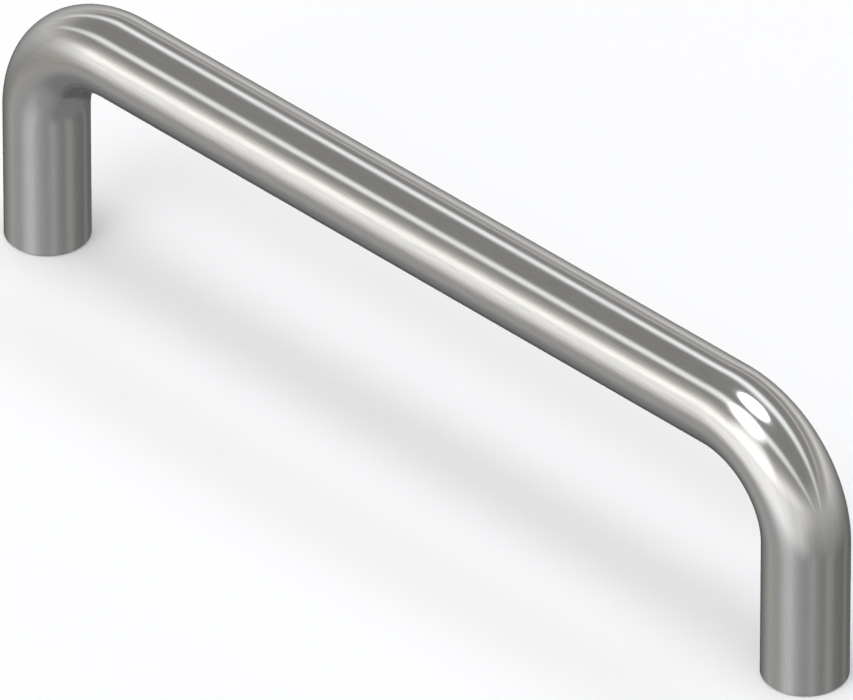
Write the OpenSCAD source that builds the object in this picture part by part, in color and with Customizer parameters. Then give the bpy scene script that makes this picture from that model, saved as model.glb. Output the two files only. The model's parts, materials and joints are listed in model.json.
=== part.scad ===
// Bar handle bent from one length of round bar, standing on the faces of its two feet.
// Each foot has a drilled and tapped blind hole, for a screw put in from behind the panel.
// X runs along the grip, Z points away from the panel, and the origin is midway between the feet.

/* [Bar] */
// Diameter of the round bar
bar_d = 10; // [8:0.5:16]
// Distance between the centres of the two feet
hole_spacing = 120; // [64:1:320]
// Height from the faces of the feet to the top of the grip
overall_h = 35; // [28:1:80]

/* [Bends] */
// Radius of each bend, measured to the middle of the bar
bend_r = 12.5; // [9:0.5:16]

/* [Feet] */
// Width of the edge break around the face of each foot
edge_break = 0.2; // [0.1:0.1:0.6]

/* [Tapped holes] */
// Outside diameter of the screw thread
thread_d = 5; // [3:0.5:6]
// Pitch of the screw thread
thread_pitch = 0.8; // [0.5:0.1:0.8]
// Depth of full thread, measured from the face of the foot
thread_depth = 12; // [6:0.5:15]
// Plain drilled length beyond the last full thread
thread_run_out = 2.4; // [1:0.2:3]
// Width of the countersink around the mouth, beyond the thread's outside diameter
mouth_relief = 0.25; // [0.1:0.05:0.5]
// Angle at the point of the drill
drill_point = 118; // [90:2:140]

/* [Hidden] */
$fn = 96;

bar_r = bar_d / 2;
grip_z = overall_h - bar_r;
leg_l = grip_z - bend_r;
grip_l = hole_spacing - 2 * bend_r;

drill_r = (thread_d - thread_pitch) / 2;
drill_depth = thread_depth + thread_run_out;
point_l = drill_r / tan(drill_point / 2);
mouth_r = thread_d / 2 + mouth_relief;
mouth_depth = mouth_r - drill_r;
// How far a cut runs out past the face that it opens through
past_face = 1;

// Straight grip between the two bends, on the X axis
module grip() {
    rotate([0, 90, 0])
        cylinder(r = bar_r, h = grip_l, center = true);
}

// Quarter turn from the top of a leg, at the origin, over towards -X
module bend() {
    translate([-bend_r, 0, 0])
        rotate([90, 0, 0])
            rotate_extrude(angle = 90)
                translate([bend_r, 0])
                    circle(r = bar_r);
}

// Straight leg, turned with an edge break around its face at z = 0
module leg() {
    rotate_extrude()
        polygon([
            [0, 0],
            [bar_r - edge_break, 0],
            [bar_r, edge_break],
            [bar_r, leg_l],
            [0, leg_l]
        ]);
}

// Countersunk mouth, tapping drill and drill point, as one turned cutter up from z = 0
module tapped_hole() {
    rotate_extrude()
        polygon([
            [0, -past_face],
            [mouth_r + past_face, -past_face],
            [drill_r, mouth_depth],
            [drill_r, drill_depth],
            [0, drill_depth + point_l]
        ]);
}

// Places its children at the foot on +X, and mirrors them to the foot on -X
module at_both_feet() {
    for (side = [0, 1])
        mirror([side, 0, 0])
            translate([hole_spacing / 2, 0, 0])
                children();
}

module bar_handle() {
    color("lightgray")
        difference() {
            union() {
                translate([0, 0, grip_z])
                    grip();
                at_both_feet() {
                    translate([0, 0, leg_l])
                        bend();
                    leg();
                }
            }
            at_both_feet()
                tapped_hole();
        }
}

bar_handle();
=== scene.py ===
import json
import math
import bmesh
import bpy
from mathutils import Matrix, Vector


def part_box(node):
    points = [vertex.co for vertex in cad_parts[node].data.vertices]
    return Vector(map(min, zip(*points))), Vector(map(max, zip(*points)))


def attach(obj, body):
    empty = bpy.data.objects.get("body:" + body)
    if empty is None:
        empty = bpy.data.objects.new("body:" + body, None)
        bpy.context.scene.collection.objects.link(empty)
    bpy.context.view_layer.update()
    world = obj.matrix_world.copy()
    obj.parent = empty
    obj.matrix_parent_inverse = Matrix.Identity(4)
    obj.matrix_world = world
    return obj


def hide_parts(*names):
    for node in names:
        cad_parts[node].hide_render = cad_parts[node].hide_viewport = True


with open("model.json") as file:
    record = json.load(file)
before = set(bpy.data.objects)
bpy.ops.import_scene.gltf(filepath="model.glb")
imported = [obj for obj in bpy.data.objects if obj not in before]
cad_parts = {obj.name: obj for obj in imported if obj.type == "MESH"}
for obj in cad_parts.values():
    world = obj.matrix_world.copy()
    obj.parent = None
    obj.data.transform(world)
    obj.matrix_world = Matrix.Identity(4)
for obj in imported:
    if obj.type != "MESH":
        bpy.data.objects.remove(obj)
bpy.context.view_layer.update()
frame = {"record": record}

# Camera
# It looks down on the grip from the front and the +X end, at the same angle to all three axes.
# A very long lens far away leaves almost no perspective, so the two legs show at the same size.
lens_mm = 1200
towards_camera = Vector((1, -1, 1)).normalized()
look_at = Vector((0.00048, 0.00021, 0.01373))
camera_distance = 3.179

camera_data = bpy.data.cameras.new("camera")
camera_data.lens = lens_mm
camera = bpy.data.objects.new("camera", camera_data)
camera.location = look_at + towards_camera * camera_distance
camera.rotation_euler = towards_camera.to_track_quat("Z", "Y").to_euler()
bpy.context.scene.collection.objects.link(camera)
bpy.context.scene.camera = camera
bpy.context.scene.view_settings.view_transform = "Standard"


# Studio
# The polished steel is a mirror, so its look is the room around it: grey walls and ground, a wide
# bright panel in front, a dimmer one behind, three long strip lamps that run along the grip, three
# round lamps in a row from overhead down to the front, and a faint one at the -X end.
def add(tree, kind, *values, **settings):
    """Adds a node, then sets its inputs in order, or links those that are given a socket."""
    made = tree.nodes.new("ShaderNode" + kind)
    for name, value in settings.items():
        setattr(made, name, value)
    for socket, value in zip(made.inputs, values):
        if isinstance(value, bpy.types.NodeSocket):
            tree.links.new(value, socket)
        elif value is not None:
            socket.default_value = value
    return made


def calc(tree, operation, *values):
    """Output of a Math node."""
    return add(tree, "Math", *values, operation=operation).outputs[0]


def fade(tree, value, off, on):
    """0 where the value is at off, 1 where it is at on, and a soft step between them."""
    step = add(tree, "MapRange", value, off, on, 0.0, 1.0, interpolation_type="SMOOTHSTEP")
    return step.outputs[0]


def ramp(tree, value, stops):
    """Colour that follows a value through stops, each a value and a brightness or a colour."""
    lowest, highest = stops[0][0], stops[-1][0]
    place = add(tree, "MapRange", value, lowest, highest, 0.0, 1.0).outputs[0]
    made = add(tree, "ValToRGB", place)
    points = made.color_ramp.elements
    while len(points) < len(stops):
        points.new(0.5)
    for point, (at, level) in zip(points, stops):
        point.position = (at - lowest) / (highest - lowest)
        point.color = (*level, 1.0) if isinstance(level, tuple) else (level, level, level, 1.0)
    return made.outputs[0]


def node_group(name, inputs, output):
    """Starts a node group with one number as its output. Returns it, its inputs and its output."""
    group = bpy.data.node_groups.new(name, "ShaderNodeTree")
    for socket, kind in inputs:
        group.interface.new_socket(socket, in_out="INPUT", socket_type="NodeSocket" + kind)
    group.interface.new_socket(output, in_out="OUTPUT", socket_type="NodeSocketFloat")
    sources = group.nodes.new("NodeGroupInput").outputs[:len(inputs)]
    return group, sources, group.nodes.new("NodeGroupOutput").inputs[0]


world = bpy.data.worlds.new("studio")
world.use_nodes = True
bpy.context.scene.world = world
sky = world.node_tree
sky.nodes.clear()
looking = add(sky, "TexCoord").outputs["Generated"]
x, y, z = add(sky, "SeparateXYZ", looking).outputs
elevation = calc(sky, "DEGREES", calc(sky, "ARCSINE", z))
azimuth = calc(sky, "DEGREES", calc(sky, "ARCTAN2", y, x))


def away_from(azimuth_deg, elevation_deg):
    """Angle in degrees between the direction that is looked in and a given one."""
    az, el = math.radians(azimuth_deg), math.radians(elevation_deg)
    centre = (math.cos(el) * math.cos(az), math.cos(el) * math.sin(az), math.sin(el))
    cosine = add(sky, "VectorMath", looking, centre, operation="DOT_PRODUCT").outputs["Value"]
    return calc(sky, "DEGREES", calc(sky, "ARCCOSINE", cosine))


def ring_of_ground(outer_edge, inner_edge):
    """1 in the ring of ground between two elevations and 0 outside it, with soft edges."""
    return calc(sky, "MULTIPLY", fade(sky, elevation, *outer_edge), fade(sky, elevation, *inner_edge))


def tinted(colour, tint):
    """One colour multiplied by another."""
    return add(sky, "VectorMath", colour, tint, operation="MULTIPLY").outputs[0]


# Side walls: their brightness, as the steel shows it, at each elevation. The studio's angles are in
# degrees, azimuths count from +X, and an edge is a pair: where a part is unseen, and where it is
# seen in full.
side_walls = [
    (-90, 0.165), (-40, 0.175), (-20, 0.24), (-8, 0.30), (2, 0.36), (8, 0.33), (14, 0.29),
    (20, 0.25), (27, 0.20), (90, 0.19),
]

# Front panel: its brightness at each elevation, and how much of it is seen at each angle to either
# side of its middle. It is widest a little above the horizon and leans towards +X below it.
front_panel = [
    (-90, 0.17), (-72, 0.23), (-54, 0.27), (-42, 0.30), (-36, 0.38), (-24, 0.64), (-16, 0.82),
    (-4, 0.82), (1, 0.77), (7, 1.05), (12, 1.03), (16, 0.86), (20, 0.61), (26, 0.40),
    (32, 0.28), (40, 0.22), (50, 0.19), (90, 0.19),
]
front_panel_sides = [
    (-93, 0.00), (-68, 0.06), (-59, 0.14), (-47, 0.50), (-35, 0.88), (-23, 0.97), (-11, 1.00),
    (13, 1.00), (25, 0.78), (37, 0.57), (49, 0.54), (61, 0.34), (73, 0.14), (89, 0.00),
]
front_panel_middle = -95
front_panel_lean = 0.2
widest_elevation = 2.0
narrowed_after = 20.0
narrowing = 0.22
half_turn = 180.0
below_horizon = calc(sky, "MINIMUM", elevation, 0.0)
middle_here = calc(sky, "MULTIPLY_ADD", below_horizon, -front_panel_lean, front_panel_middle)
off_middle = calc(sky, "WRAP", calc(sky, "SUBTRACT", azimuth, middle_here), half_turn, -half_turn)
off_widest = calc(sky, "ABSOLUTE", calc(sky, "SUBTRACT", elevation, widest_elevation))
narrowed = fade(sky, off_widest, 0.0, narrowed_after)
panel_width = calc(sky, "MULTIPLY_ADD", narrowed, -narrowing, 1.0)
in_front = ramp(sky, calc(sky, "DIVIDE", off_middle, panel_width), front_panel_sides)

# Back panel: its brightness at each elevation. It has a rounded top, lower towards +X.
back_panel = [
    (-90, 0.17), (-30, 0.15), (-20, 0.19), (-12, 0.27), (0, 0.43), (6, 0.57), (10, 0.60),
    (15, 0.43), (20, 0.30), (25, 0.24), (30, 0.20), (90, 0.19),
]
back_panel_top = 0.17
back_panel_fall = 0.15
back_panel_rounding = 2.0
back_panel_edge = 0.30, 0.95
falling_away = calc(sky, "MULTIPLY_ADD", calc(sky, "MAXIMUM", x, 0.0), back_panel_fall, z)
over_top = calc(sky, "MAXIMUM", calc(sky, "SUBTRACT", falling_away, back_panel_top), 0.0)
rounded = calc(sky, "MULTIPLY_ADD", over_top, -back_panel_rounding, y)
behind = fade(sky, rounded, *back_panel_edge)

# Ground: the brightness at each azimuth of the ring of it that the legs show
ground_ring = [
    (-180, 0.18), (-165, 0.25), (-150, 0.31), (-130, 0.27), (-118, 0.28), (-98, 0.41), (-84, 0.43),
    (-72, 0.33), (-60, 0.265), (-45, 0.228), (-27, 0.28), (-14, 0.205), (0, 0.173), (16, 0.245),
    (24, 0.217), (36, 0.157), (60, 0.125), (78, 0.19), (90, 0.12), (130, 0.15), (180, 0.18),
]
near_ground = ring_of_ground(outer_edge=(-20.0, -34.0), inner_edge=(-57.0, -38.0))

# Upright edges of the walls, which show as faint bands round the horizon
band_spacing = 7.0
band_contrast = 0.22
bands_edge = 46.0, 12.0
around = calc(sky, "DIVIDE", azimuth, band_spacing)
wall_edges = add(sky, "TexNoise", None, around, noise_dimensions="1D")
wall_edges.inputs["Scale"].default_value = 1.0
wall_edges.inputs["Detail"].default_value = 1.0
off_mean = calc(sky, "SUBTRACT", wall_edges.outputs[0], 0.5)
banded = calc(sky, "MULTIPLY", off_mean, fade(sky, off_widest, *bands_edge))
band_light = calc(sky, "MULTIPLY_ADD", banded, band_contrast, 1.0)

# Dark patch of ground behind the handle, which gives every outline its thin dark rim
patch_azimuth, patch_elevation = 140.0, -46.0
patch_edge = 30.0, 13.0
patch_darkness = 0.48
in_patch = fade(sky, away_from(patch_azimuth, patch_elevation), *patch_edge)
rim_shade = calc(sky, "MULTIPLY_ADD", in_patch, -patch_darkness, 1.0)

walls = ramp(sky, elevation, side_walls)
for where, angle, stops in ((in_front, elevation, front_panel), (behind, elevation, back_panel),
                            (near_ground, azimuth, ground_ring)):
    walls = add(sky, "MixRGB", where, walls, ramp(sky, angle, stops)).outputs[0]

# Nearly neutral light from the ground, and warmer light from the walls above
room_tint = [
    (-90, (0.985, 1.00, 1.035)), (-45, (0.99, 1.00, 1.03)), (-30, (1.00, 1.00, 1.01)),
    (5, (1.005, 1.00, 0.985)), (20, (1.03, 1.00, 0.97)), (32, (1.03, 1.00, 0.97)),
    (48, (1.014, 1.00, 0.965)), (90, (1.02, 1.01, 0.96)),
]
walls = tinted(walls, ramp(sky, elevation, room_tint))

# Tint of the ground at each azimuth: warm to the front left, a little blue below the front panel
ground_tint = [
    (-180, (1.00, 1.00, 0.975)), (-150, (1.01, 1.00, 0.96)), (-136, (1.03, 1.00, 0.945)),
    (-122, (1.01, 1.00, 0.98)), (-112, (1.015, 1.00, 1.035)), (-95, (1.00, 1.00, 1.01)),
    (-30, (1.00, 1.00, 1.01)), (-18, (1.00, 1.00, 0.975)), (180, (1.00, 1.00, 0.975)),
]
on_ground = ring_of_ground(outer_edge=(-8.0, -22.0), inner_edge=(-52.0, -38.0))
ground = tinted(walls, ramp(sky, azimuth, ground_tint))
walls = add(sky, "MixRGB", on_ground, walls, ground).outputs[0]

# How much brighter the room is than its image in the steel, which sends back about 0.57
room_over_image = 1.74
wall_light = calc(sky, "MULTIPLY", calc(sky, "MULTIPLY", band_light, rim_shade), room_over_image)
light = add(sky, "Background", walls, wall_light).outputs[0]

# Group for a strip lamp along X, tilted up from +Y, with its sizes as seen at distance 1. It may
# bow and turn a little. It dims away from its middle, and it ends sooner towards -X. The edge at
# either end is in shares of its half length.
strip_middle = -0.15
end_edge = 1.3, 0.25
nearer_end_edge = -6.0, -2.6
bow_rounding = 0.2
least_depth = 0.001
strip_lamp, (direction, tilt, half_width, half_length, dimming, softness, bow, turn), strip_light = \
    node_group("strip lamp", (
        ("Direction", "Vector"), ("Tilt", "Float"), ("Half width", "Float"), ("Half length", "Float"),
        ("Dimming", "Float"), ("Softness", "Float"), ("Bow", "Float"), ("Turn", "Float")), "Light")
facing = strip_lamp.nodes.new("ShaderNodeVectorRotate")
facing.rotation_type = "X_AXIS"
strip_lamp.links.new(direction, facing.inputs["Vector"])
strip_lamp.links.new(calc(strip_lamp, "MULTIPLY", tilt, -1.0), facing.inputs["Angle"])
sideways, ahead, upwards = add(strip_lamp, "SeparateXYZ", facing.outputs[0]).outputs
depth = calc(strip_lamp, "MAXIMUM", ahead, least_depth)
off_centre = calc(strip_lamp, "DIVIDE", sideways, depth)

lengthwise = calc(strip_lamp, "ABSOLUTE", calc(strip_lamp, "SUBTRACT", off_centre, strip_middle))
unseen, seen = (calc(strip_lamp, "MULTIPLY", half_length, share) for share in end_edge)
in_length = calc(strip_lamp, "MULTIPLY", fade(strip_lamp, lengthwise, unseen, seen),
                 fade(strip_lamp, off_centre, *nearer_end_edge))
slant = calc(strip_lamp, "MULTIPLY_ADD", lengthwise, lengthwise, 1.0)
dimmed = calc(strip_lamp, "POWER", slant, calc(strip_lamp, "MULTIPLY", dimming, -1.0))

squared = calc(strip_lamp, "MULTIPLY_ADD", off_centre, off_centre, bow_rounding ** 2)
from_middle = calc(strip_lamp, "SQRT", squared)
bowed = calc(strip_lamp, "MULTIPLY_ADD", from_middle, bow, calc(strip_lamp, "DIVIDE", upwards, depth))
height = calc(strip_lamp, "SUBTRACT", bowed, calc(strip_lamp, "MULTIPLY", off_centre, turn))
across = calc(strip_lamp, "ABSOLUTE", height)
in_width = fade(strip_lamp, across, calc(strip_lamp, "ADD", half_width, softness),
                calc(strip_lamp, "SUBTRACT", half_width, softness))

in_front_of_lamp = calc(strip_lamp, "GREATER_THAN", ahead, least_depth)
lit = calc(strip_lamp, "MULTIPLY", calc(strip_lamp, "MULTIPLY", in_width, in_length),
           calc(strip_lamp, "MULTIPLY", dimmed, in_front_of_lamp))
strip_lamp.links.new(lit, strip_light)

# Tilt in degrees, half width, half length, dimming, softness, bow, turn and colour of each lamp
for tilt_deg, *sizes, colour in (
    (63.5, 0.110, 14.0, 0.40, 0.105, 0.108, 0.011, (0.74, 0.775, 0.815, 1.0)),
    (123.5, 0.105, 14.0, 0.42, 0.095, 0.000, 0.030, (0.68, 0.71, 0.73, 1.0)),
    (30.5, 0.055, 1.6, 0.00, 0.045, 0.000, 0.000, (0.22, 0.22, 0.21, 1.0)),
):
    lamp = add(sky, "Group", looking, math.radians(tilt_deg), *sizes, node_tree=strip_lamp).outputs[0]
    shine = add(sky, "Background", colour, calc(sky, "MULTIPLY", lamp, room_over_image)).outputs[0]
    light = add(sky, "AddShader", light, shine).outputs[0]

# Azimuth, elevation, radius, soft edge and brightness of each round lamp
round_lamp_white = (0.99, 1.0, 1.02, 1.0)
for lamp_azimuth, lamp_elevation, radius, edge, level in (
    (-63.0, 87.8, 13.6, 2.0, 2.95),
    (-89.0, 50.0, 15.4, 3.0, 1.0),
    (-88.0, 21.0, 15.0, 6.0, 0.46),
    (172.0, 3.0, 20.0, 18.0, 0.10),
):
    disc = fade(sky, away_from(lamp_azimuth, lamp_elevation), radius + edge, radius - edge)
    strength = calc(sky, "MULTIPLY", disc, level * room_over_image)
    shine = add(sky, "Background", round_lamp_white, strength).outputs[0]
    light = add(sky, "AddShader", light, shine).outputs[0]
add(sky, "OutputWorld", light)

# Floor
# A plain, nearly white studio floor under the two feet. It takes the handle's soft shadow.
# It lets the light from below pass, and it can be seen through from underneath.
floor_radius = 1.5
floor_sides = 64
floor_mesh = bpy.data.meshes.new("floor")
sheet = bmesh.new()
bmesh.ops.create_circle(sheet, cap_ends=True, radius=floor_radius, segments=floor_sides)
sheet.to_mesh(floor_mesh)
sheet.free()
floor = bpy.data.objects.new("floor", floor_mesh)
bpy.context.scene.collection.objects.link(floor)
floor.visible_glossy = False
floor.visible_shadow = False

floor_paint = bpy.data.materials.new("floor_paint")
floor_paint.use_nodes = True
paint = floor_paint.node_tree
paint.nodes.clear()
matt_white = add(paint, "BsdfDiffuse", (0.97, 0.97, 0.98, 1.0)).outputs[0]
underneath = add(paint, "NewGeometry").outputs["Backfacing"]
seen_through = add(paint, "BsdfTransparent").outputs[0]
one_sided = add(paint, "MixShader", underneath, matt_white, seen_through).outputs[0]
add(paint, "OutputMaterial", one_sided)
floor_mesh.materials.append(floor_paint)

# Bar handle
# One length of round stainless steel bar, 10 mm thick. Both ends are faced, drilled and tapped
# while the bar is straight, then it is bent a quarter turn at each end and polished lengthwise.
mm = 0.001
low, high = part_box("bar_handle")
bar_r = (high.y - low.y) / 2
foot_x = high.x - bar_r
grip_z = high.z - bar_r
bend_r = 12.5 * mm
leg_l = grip_z - bend_r
bend_x = foot_x - bend_r
edge_break = 0.2 * mm
around_bar = 128
leg_steps = 10
bend_steps = 40
grip_steps = 24
touching = 0.001 * mm


def next_ring(mesh, ring, by, scale=None):
    """Draws a ring of edges out by one step, and may scale it about the foot's axis."""
    drawn = bmesh.ops.extrude_edge_only(mesh, edges=ring)["geom"]
    verts = [part for part in drawn if isinstance(part, bmesh.types.BMVert)]
    if scale:
        bmesh.ops.scale(mesh, verts=verts, vec=(scale, scale, 1),
                        space=Matrix.Translation((-foot_x, 0, 0)))
    bmesh.ops.translate(mesh, verts=verts, vec=by)
    return [part for part in drawn if isinstance(part, bmesh.types.BMEdge)]


def add_other_half(mesh):
    """Adds a copy, turned half round about the Z axis, for the other end of the handle."""
    copy = bmesh.ops.duplicate(mesh, geom=mesh.verts[:] + mesh.edges[:] + mesh.faces[:])["geom"]
    bmesh.ops.rotate(mesh, verts=[part for part in copy if isinstance(part, bmesh.types.BMVert)],
                     cent=(0, 0, 0), matrix=Matrix.Rotation(math.pi, 3, "Z"))


def object_from(name, mesh):
    """Writes a bmesh to a new object at the origin."""
    data = bpy.data.meshes.new(name)
    mesh.to_mesh(data)
    mesh.free()
    made = bpy.data.objects.new(name, data)
    bpy.context.scene.collection.objects.link(made)
    return made


bar = bmesh.new()
bmesh.ops.create_circle(bar, cap_ends=True, radius=bar_r - edge_break, segments=around_bar,
                        matrix=Matrix.Translation((foot_x, 0, 0)))
ring = next_ring(bar, bar.edges[:], by=(0, 0, edge_break), scale=bar_r / (bar_r - edge_break))
for step in range(leg_steps):
    ring = next_ring(bar, ring, by=(0, 0, (leg_l - edge_break) / leg_steps))
ring_verts = list(dict.fromkeys(vert for edge in ring for vert in edge.verts))
bent = bmesh.ops.spin(bar, geom=ring_verts + ring, cent=(bend_x, 0, leg_l), axis=(0, -1, 0),
                      angle=math.pi / 2, steps=bend_steps, use_merge=False, use_duplicate=False)
ring = [part for part in bent["geom_last"] if isinstance(part, bmesh.types.BMEdge)]
for step in range(grip_steps):
    ring = next_ring(bar, ring, by=(-bend_x / grip_steps, 0, 0))
add_other_half(bar)
bmesh.ops.remove_doubles(bar, verts=bar.verts, dist=touching)
bmesh.ops.recalc_face_normals(bar, faces=bar.faces)
bar_handle = object_from("handle_bar", bar)

# Drill
# The tapping drill, its point and the countersink at the mouth of each hole, as one turned cutter.
# It leaves a blind hole up the middle of each leg.
hole = next(m for m in frame["record"]["mounts"] if m["name"] == "foot_thread_right")
drill_r = hole["dims"]["r_mm"] * mm
thread_pitch = 0.8 * mm
thread_r = drill_r + thread_pitch / 2
thread_depth = 12 * mm
thread_run_out = 2.4 * mm
mouth_relief = 0.25 * mm
drill_point_deg = 118
drill_depth = thread_depth + thread_run_out
drill_tip = drill_depth + drill_r / math.tan(math.radians(drill_point_deg / 2))
mouth_r = thread_r + mouth_relief
past_face = 1 * mm
around_hole = 64


def at_both_feet(mesh):
    """Moves what was made about the Z axis to the foot at +X, and adds a copy at the other foot."""
    bmesh.ops.translate(mesh, verts=mesh.verts, vec=(foot_x, 0, 0))
    add_other_half(mesh)
    bmesh.ops.recalc_face_normals(mesh, faces=mesh.faces)


drill_mesh = bmesh.new()
outline = [drill_mesh.verts.new(point) for point in (
    (0, 0, -past_face),
    (mouth_r + past_face, 0, -past_face),
    (drill_r, 0, mouth_r - drill_r),
    (drill_r, 0, drill_depth),
    (0, 0, drill_tip),
)]
edges = [drill_mesh.edges.new(pair) for pair in zip(outline, outline[1:])]
bmesh.ops.spin(drill_mesh, geom=outline + edges, cent=(0, 0, 0), axis=(0, 0, 1), angle=2 * math.pi,
               steps=around_hole, use_merge=True, use_duplicate=False)
bmesh.ops.remove_doubles(drill_mesh, verts=drill_mesh.verts, dist=touching)
at_both_feet(drill_mesh)
drill = object_from("drill", drill_mesh)

# Tap
# A right-hand thread ridge with flanks at 60 degrees, wound up each hole from below its mouth.
# Over the last two turns it sinks back into the drilled hole, as the lead of a real tap leaves it.
flanks_deg = 60
ridge_overlap = 0.06 * mm
ridge_root = drill_r - ridge_overlap
ridge_tip_w = thread_pitch / 8
ridge_root_w = ridge_tip_w + 2 * (thread_r - ridge_root) * math.tan(math.radians(flanks_deg / 2))
ridge_start = -1.2 * mm
lead_turns = 2
most_sunk = 0.97
ridge_turns = (thread_depth - ridge_start) / thread_pitch + lead_turns

tap_mesh = bmesh.new()
outline = [tap_mesh.verts.new((r, 0, ridge_start + h)) for r, h in (
    (ridge_root, -ridge_root_w / 2),
    (thread_r, -ridge_tip_w / 2),
    (thread_r, ridge_tip_w / 2),
    (ridge_root, ridge_root_w / 2),
)]
edges = [tap_mesh.edges.new((outline[i - 1], outline[i])) for i in range(len(outline))]
ridge_steps = round(ridge_turns * around_hole)
bmesh.ops.spin(tap_mesh, geom=outline + edges, cent=(0, 0, 0), axis=(0, 0, 1),
               dvec=(0, 0, thread_pitch / around_hole), angle=2 * math.pi * ridge_steps / around_hole,
               steps=ridge_steps, use_merge=False, use_duplicate=False)
bmesh.ops.holes_fill(tap_mesh, edges=tap_mesh.edges, sides=len(outline))
for vert in tap_mesh.verts:
    radius = math.hypot(vert.co.x, vert.co.y)
    past_full_thread = max(0.0, vert.co.z - thread_depth) / (lead_turns * thread_pitch)
    sunk = (thread_r - ridge_root) * min(past_full_thread, most_sunk) * (radius > drill_r)
    vert.co.xy *= (radius - sunk) / radius
at_both_feet(tap_mesh)
tap = object_from("tap", tap_mesh)

for cutter in (drill, tap):
    cut = bar_handle.modifiers.new(cutter.name, "BOOLEAN")
    cut.operation = "DIFFERENCE"
    cut.solver = "EXACT"
    cut.object = cutter
as_cut = bar_handle.evaluated_get(bpy.context.evaluated_depsgraph_get())
cut_mesh = bpy.data.meshes.new_from_object(as_cut)
cut_mesh.name = "handle_bar"
bar_handle.modifiers.clear()
bar_handle.data = cut_mesh
for cutter in (drill, tap):
    bpy.data.objects.remove(cutter)

# The cuts leave slivers where they cross, which are merged into the faces beside them.
sliver = 0.0005 * mm
cleaned = bmesh.new()
cleaned.from_mesh(cut_mesh)
bmesh.ops.remove_doubles(cleaned, verts=cleaned.verts, dist=sliver)
bmesh.ops.dissolve_degenerate(cleaned, edges=cleaned.edges, dist=sliver)
bmesh.ops.recalc_face_normals(cleaned, faces=cleaned.faces)
cleaned.to_mesh(cut_mesh)
cleaned.free()


# The polish runs along the bar and follows it round the bends, so each point of the mesh carries
# its place on the bar before it was bent.
def on_straight_bar(point):
    """Distance of a point along the bar from its middle, across it, and out from its centre line."""
    side = math.copysign(1, point.x)
    x, z = abs(point.x), point.z
    if x <= bend_x:
        return side * x, point.y, z - grip_z
    if z <= leg_l:
        return side * (bend_x + bend_r * math.pi / 2 + leg_l - z), point.y, x - foot_x
    turn = math.atan2(x - bend_x, z - leg_l)
    return side * (bend_x + bend_r * turn), point.y, math.hypot(x - bend_x, z - leg_l) - bend_r


places = cut_mesh.attributes.new("straight_bar", "FLOAT_VECTOR", "POINT")
for vert, place in zip(cut_mesh.vertices, places.data):
    place.vector = on_straight_bar(vert.co)

# Group for fine lines along the bar, of a given length and width, between 0 and 1
polish_lines, (place, line_length, line_width), lines_out = node_group(
    "polish lines", (("Place", "Vector"), ("Line length", "Float"), ("Line width", "Float")), "Lines")
along, sideways, outwards = add(polish_lines, "SeparateXYZ", place).outputs
stretched = add(polish_lines, "CombineXYZ", calc(polish_lines, "DIVIDE", along, line_length),
                calc(polish_lines, "DIVIDE", sideways, line_width),
                calc(polish_lines, "DIVIDE", outwards, line_width)).outputs[0]
grain = polish_lines.nodes.new("ShaderNodeTexNoise")
grain.inputs["Scale"].default_value = 1.0
grain.inputs["Detail"].default_value = 3.0
grain.inputs["Roughness"].default_value = 0.6
polish_lines.links.new(stretched, grain.inputs["Vector"])
polish_lines.links.new(grain.outputs[0], lines_out)

# Group for soft patches where the polish is a little duller, from handling, between 0 and 1
handling_marks, (place, patch_size), marks_out = node_group(
    "handling marks", (("Place", "Vector"), ("Patch size", "Float")), "Marks")
patches = handling_marks.nodes.new("ShaderNodeTexNoise")
patches.inputs["Scale"].default_value = 1.0
patches.inputs["Detail"].default_value = 4.0
mark_edge = 0.40, 0.68
scaled = add(handling_marks, "VectorMath", place, operation="DIVIDE")
spread = add(handling_marks, "CombineXYZ", patch_size, patch_size, patch_size).outputs[0]
handling_marks.links.new(spread, scaled.inputs[1])
handling_marks.links.new(scaled.outputs[0], patches.inputs["Vector"])
handling_marks.links.new(fade(handling_marks, patches.outputs[0], *mark_edge), marks_out)


def steel_material(name):
    """Starts a bare stainless steel. Returns the material, its tree and its shader."""
    grazing_tint = (0.82, 0.82, 0.82, 1.0)
    made = bpy.data.materials.new(name)
    made.use_nodes = True
    shader = made.node_tree.nodes["Principled BSDF"]
    shader.inputs["Metallic"].default_value = 1.0
    shader.inputs["Specular Tint"].default_value = grazing_tint
    return made, made.node_tree, shader


def blend_colours(tree, share, first, second):
    """Colour that goes from the first to the second as the share goes from 0 to 1."""
    return add(tree, "MixRGB", share, (*first, 1.0), (*second, 1.0)).outputs[0]


def bump(tree, height, depth):
    """Normal of a surface whose height goes from 0 to the depth, in metres."""
    made = tree.nodes.new("ShaderNodeBump")
    made.inputs["Distance"].default_value = depth
    made.inputs["Strength"].default_value = 1.0
    tree.links.new(height, made.inputs["Height"])
    return made.outputs["Normal"]


# Polished bar: bright, with hair lines along it, a few longer marks, and duller patches. The
# lines are fainter on the bends and legs, which are buffed for longer.
hair_length, hair_width = 3 * mm, 0.10 * mm
mark_length, mark_width = 60 * mm, 0.7 * mm
mark_share = 0.05
dull_patch = 9 * mm
buffed_after = 8 * mm
buffing = 0.55
mean_line = 0.5
least_roughness = 0.107
patch_roughness = 0.03
line_roughness = 0.03
line_depth = 0.00015 * mm
line_dark, line_bright = (0.46, 0.455, 0.44), (0.70, 0.695, 0.68)
polished_bar, tree, shader = steel_material("polished_bar")
place = tree.nodes.new("ShaderNodeAttribute")
place.attribute_name = "straight_bar"
place = place.outputs["Vector"]
hair_lines = add(tree, "Group", place, hair_length, hair_width, node_tree=polish_lines).outputs[0]
long_marks = add(tree, "Group", place, mark_length, mark_width, node_tree=polish_lines).outputs[0]
marks = add(tree, "Group", place, dull_patch, node_tree=handling_marks).outputs[0]
hair_part = calc(tree, "MULTIPLY", hair_lines, 1 - mark_share)
lines = calc(tree, "MULTIPLY_ADD", long_marks, mark_share, hair_part)
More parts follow.
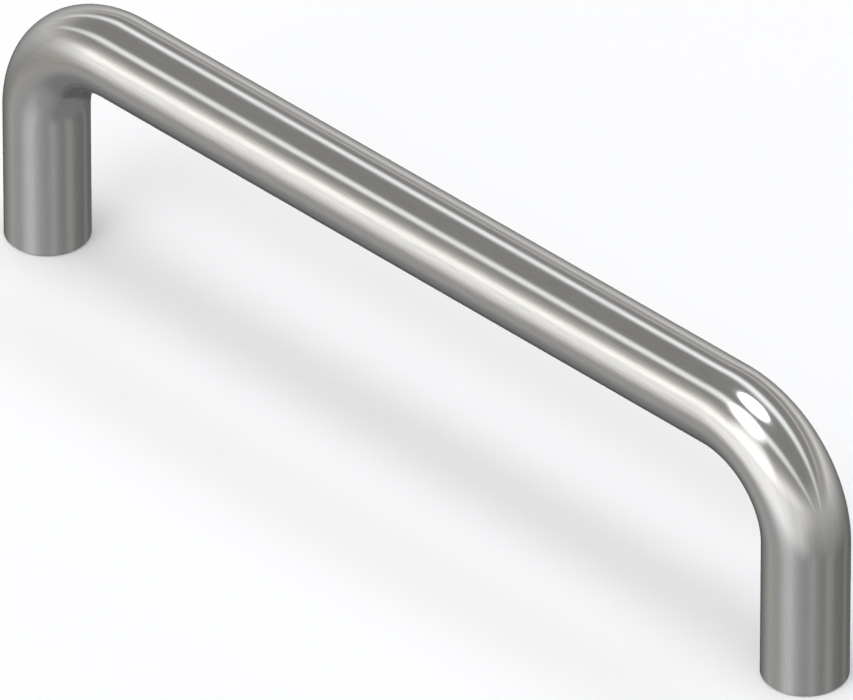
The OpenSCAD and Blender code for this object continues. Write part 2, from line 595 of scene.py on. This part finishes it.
along = add(tree, "SeparateXYZ", place).outputs["X"]
buffed = fade(tree, calc(tree, "ABSOLUTE", along), bend_x, bend_x + buffed_after)
contrast = calc(tree, "MULTIPLY_ADD", buffed, -buffing, 1.0)
lines = calc(tree, "MULTIPLY_ADD", calc(tree, "SUBTRACT", lines, mean_line), contrast, mean_line)
tree.links.new(blend_colours(tree, lines, line_dark, line_bright), shader.inputs["Base Color"])
duller = calc(tree, "MULTIPLY_ADD", marks, patch_roughness, least_roughness)
tree.links.new(calc(tree, "MULTIPLY_ADD", lines, line_roughness, duller), shader.inputs["Roughness"])
tree.links.new(bump(tree, lines, line_depth), shader.inputs["Normal"])

# Faced end: turned square to the leg, which leaves fine rings around its middle
ring_width = 0.09 * mm
ring_depth = 0.004 * mm
ring_roughness = 0.12
turned_roughness = 0.18
ring_dark, ring_bright = (0.49, 0.485, 0.47), (0.71, 0.705, 0.69)
faced_end, tree, shader = steel_material("faced_end")
x, y = add(tree, "SeparateXYZ", add(tree, "TexCoord").outputs["Object"]).outputs[:2]
off_axis = calc(tree, "SUBTRACT", calc(tree, "ABSOLUTE", x), foot_x)
squared = calc(tree, "MULTIPLY_ADD", y, y, calc(tree, "MULTIPLY", off_axis, off_axis))
ring_place = add(tree, "CombineXYZ", calc(tree, "SQRT", squared), 0.0, 0.0).outputs[0]
rings = add(tree, "Group", ring_place, ring_width, 1.0, node_tree=polish_lines).outputs[0]
tree.links.new(blend_colours(tree, rings, ring_dark, ring_bright), shader.inputs["Base Color"])
rougher = calc(tree, "MULTIPLY_ADD", rings, ring_roughness, turned_roughness)
tree.links.new(rougher, shader.inputs["Roughness"])
tree.links.new(bump(tree, rings, ring_depth), shader.inputs["Normal"])

# Tapped hole: cut threads with a trace of oil, darker than the outside
oil_patch = 1.5 * mm
oil_gloss = 0.10
cut_roughness = 0.36
dry_steel, oily_steel = (0.54, 0.53, 0.51), (0.42, 0.40, 0.37)
tapped_hole, tree, shader = steel_material("tapped_hole")
place = add(tree, "TexCoord").outputs["Object"]
oil = add(tree, "Group", place, oil_patch, node_tree=handling_marks).outputs[0]
tree.links.new(blend_colours(tree, oil, dry_steel, oily_steel), shader.inputs["Base Color"])
oiled = calc(tree, "MULTIPLY_ADD", oil, -oil_gloss, cut_roughness)
tree.links.new(oiled, shader.inputs["Roughness"])

# Each face gets its finish by its place. Edges that turn by more than the sharp angle stay crisp.
above_foot = 0.01 * mm
sharp_deg = 25
finishes = [polished_bar, faced_end, tapped_hole]
cut_mesh.materials.clear()
for finish in finishes:
    cut_mesh.materials.append(finish)
for face in cut_mesh.polygons:
    face.use_smooth = True
    from_axis = math.hypot(abs(face.center.x) - foot_x, face.center.y)
    if face.center.z < edge_break:
        face.material_index = finishes.index(faced_end)
    if from_axis < mouth_r and above_foot < face.center.z < drill_tip:
        face.material_index = finishes.index(tapped_hole)
cut_mesh.set_sharp_from_angle(angle=math.radians(sharp_deg))

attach(bar_handle, "root")
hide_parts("bar_handle")
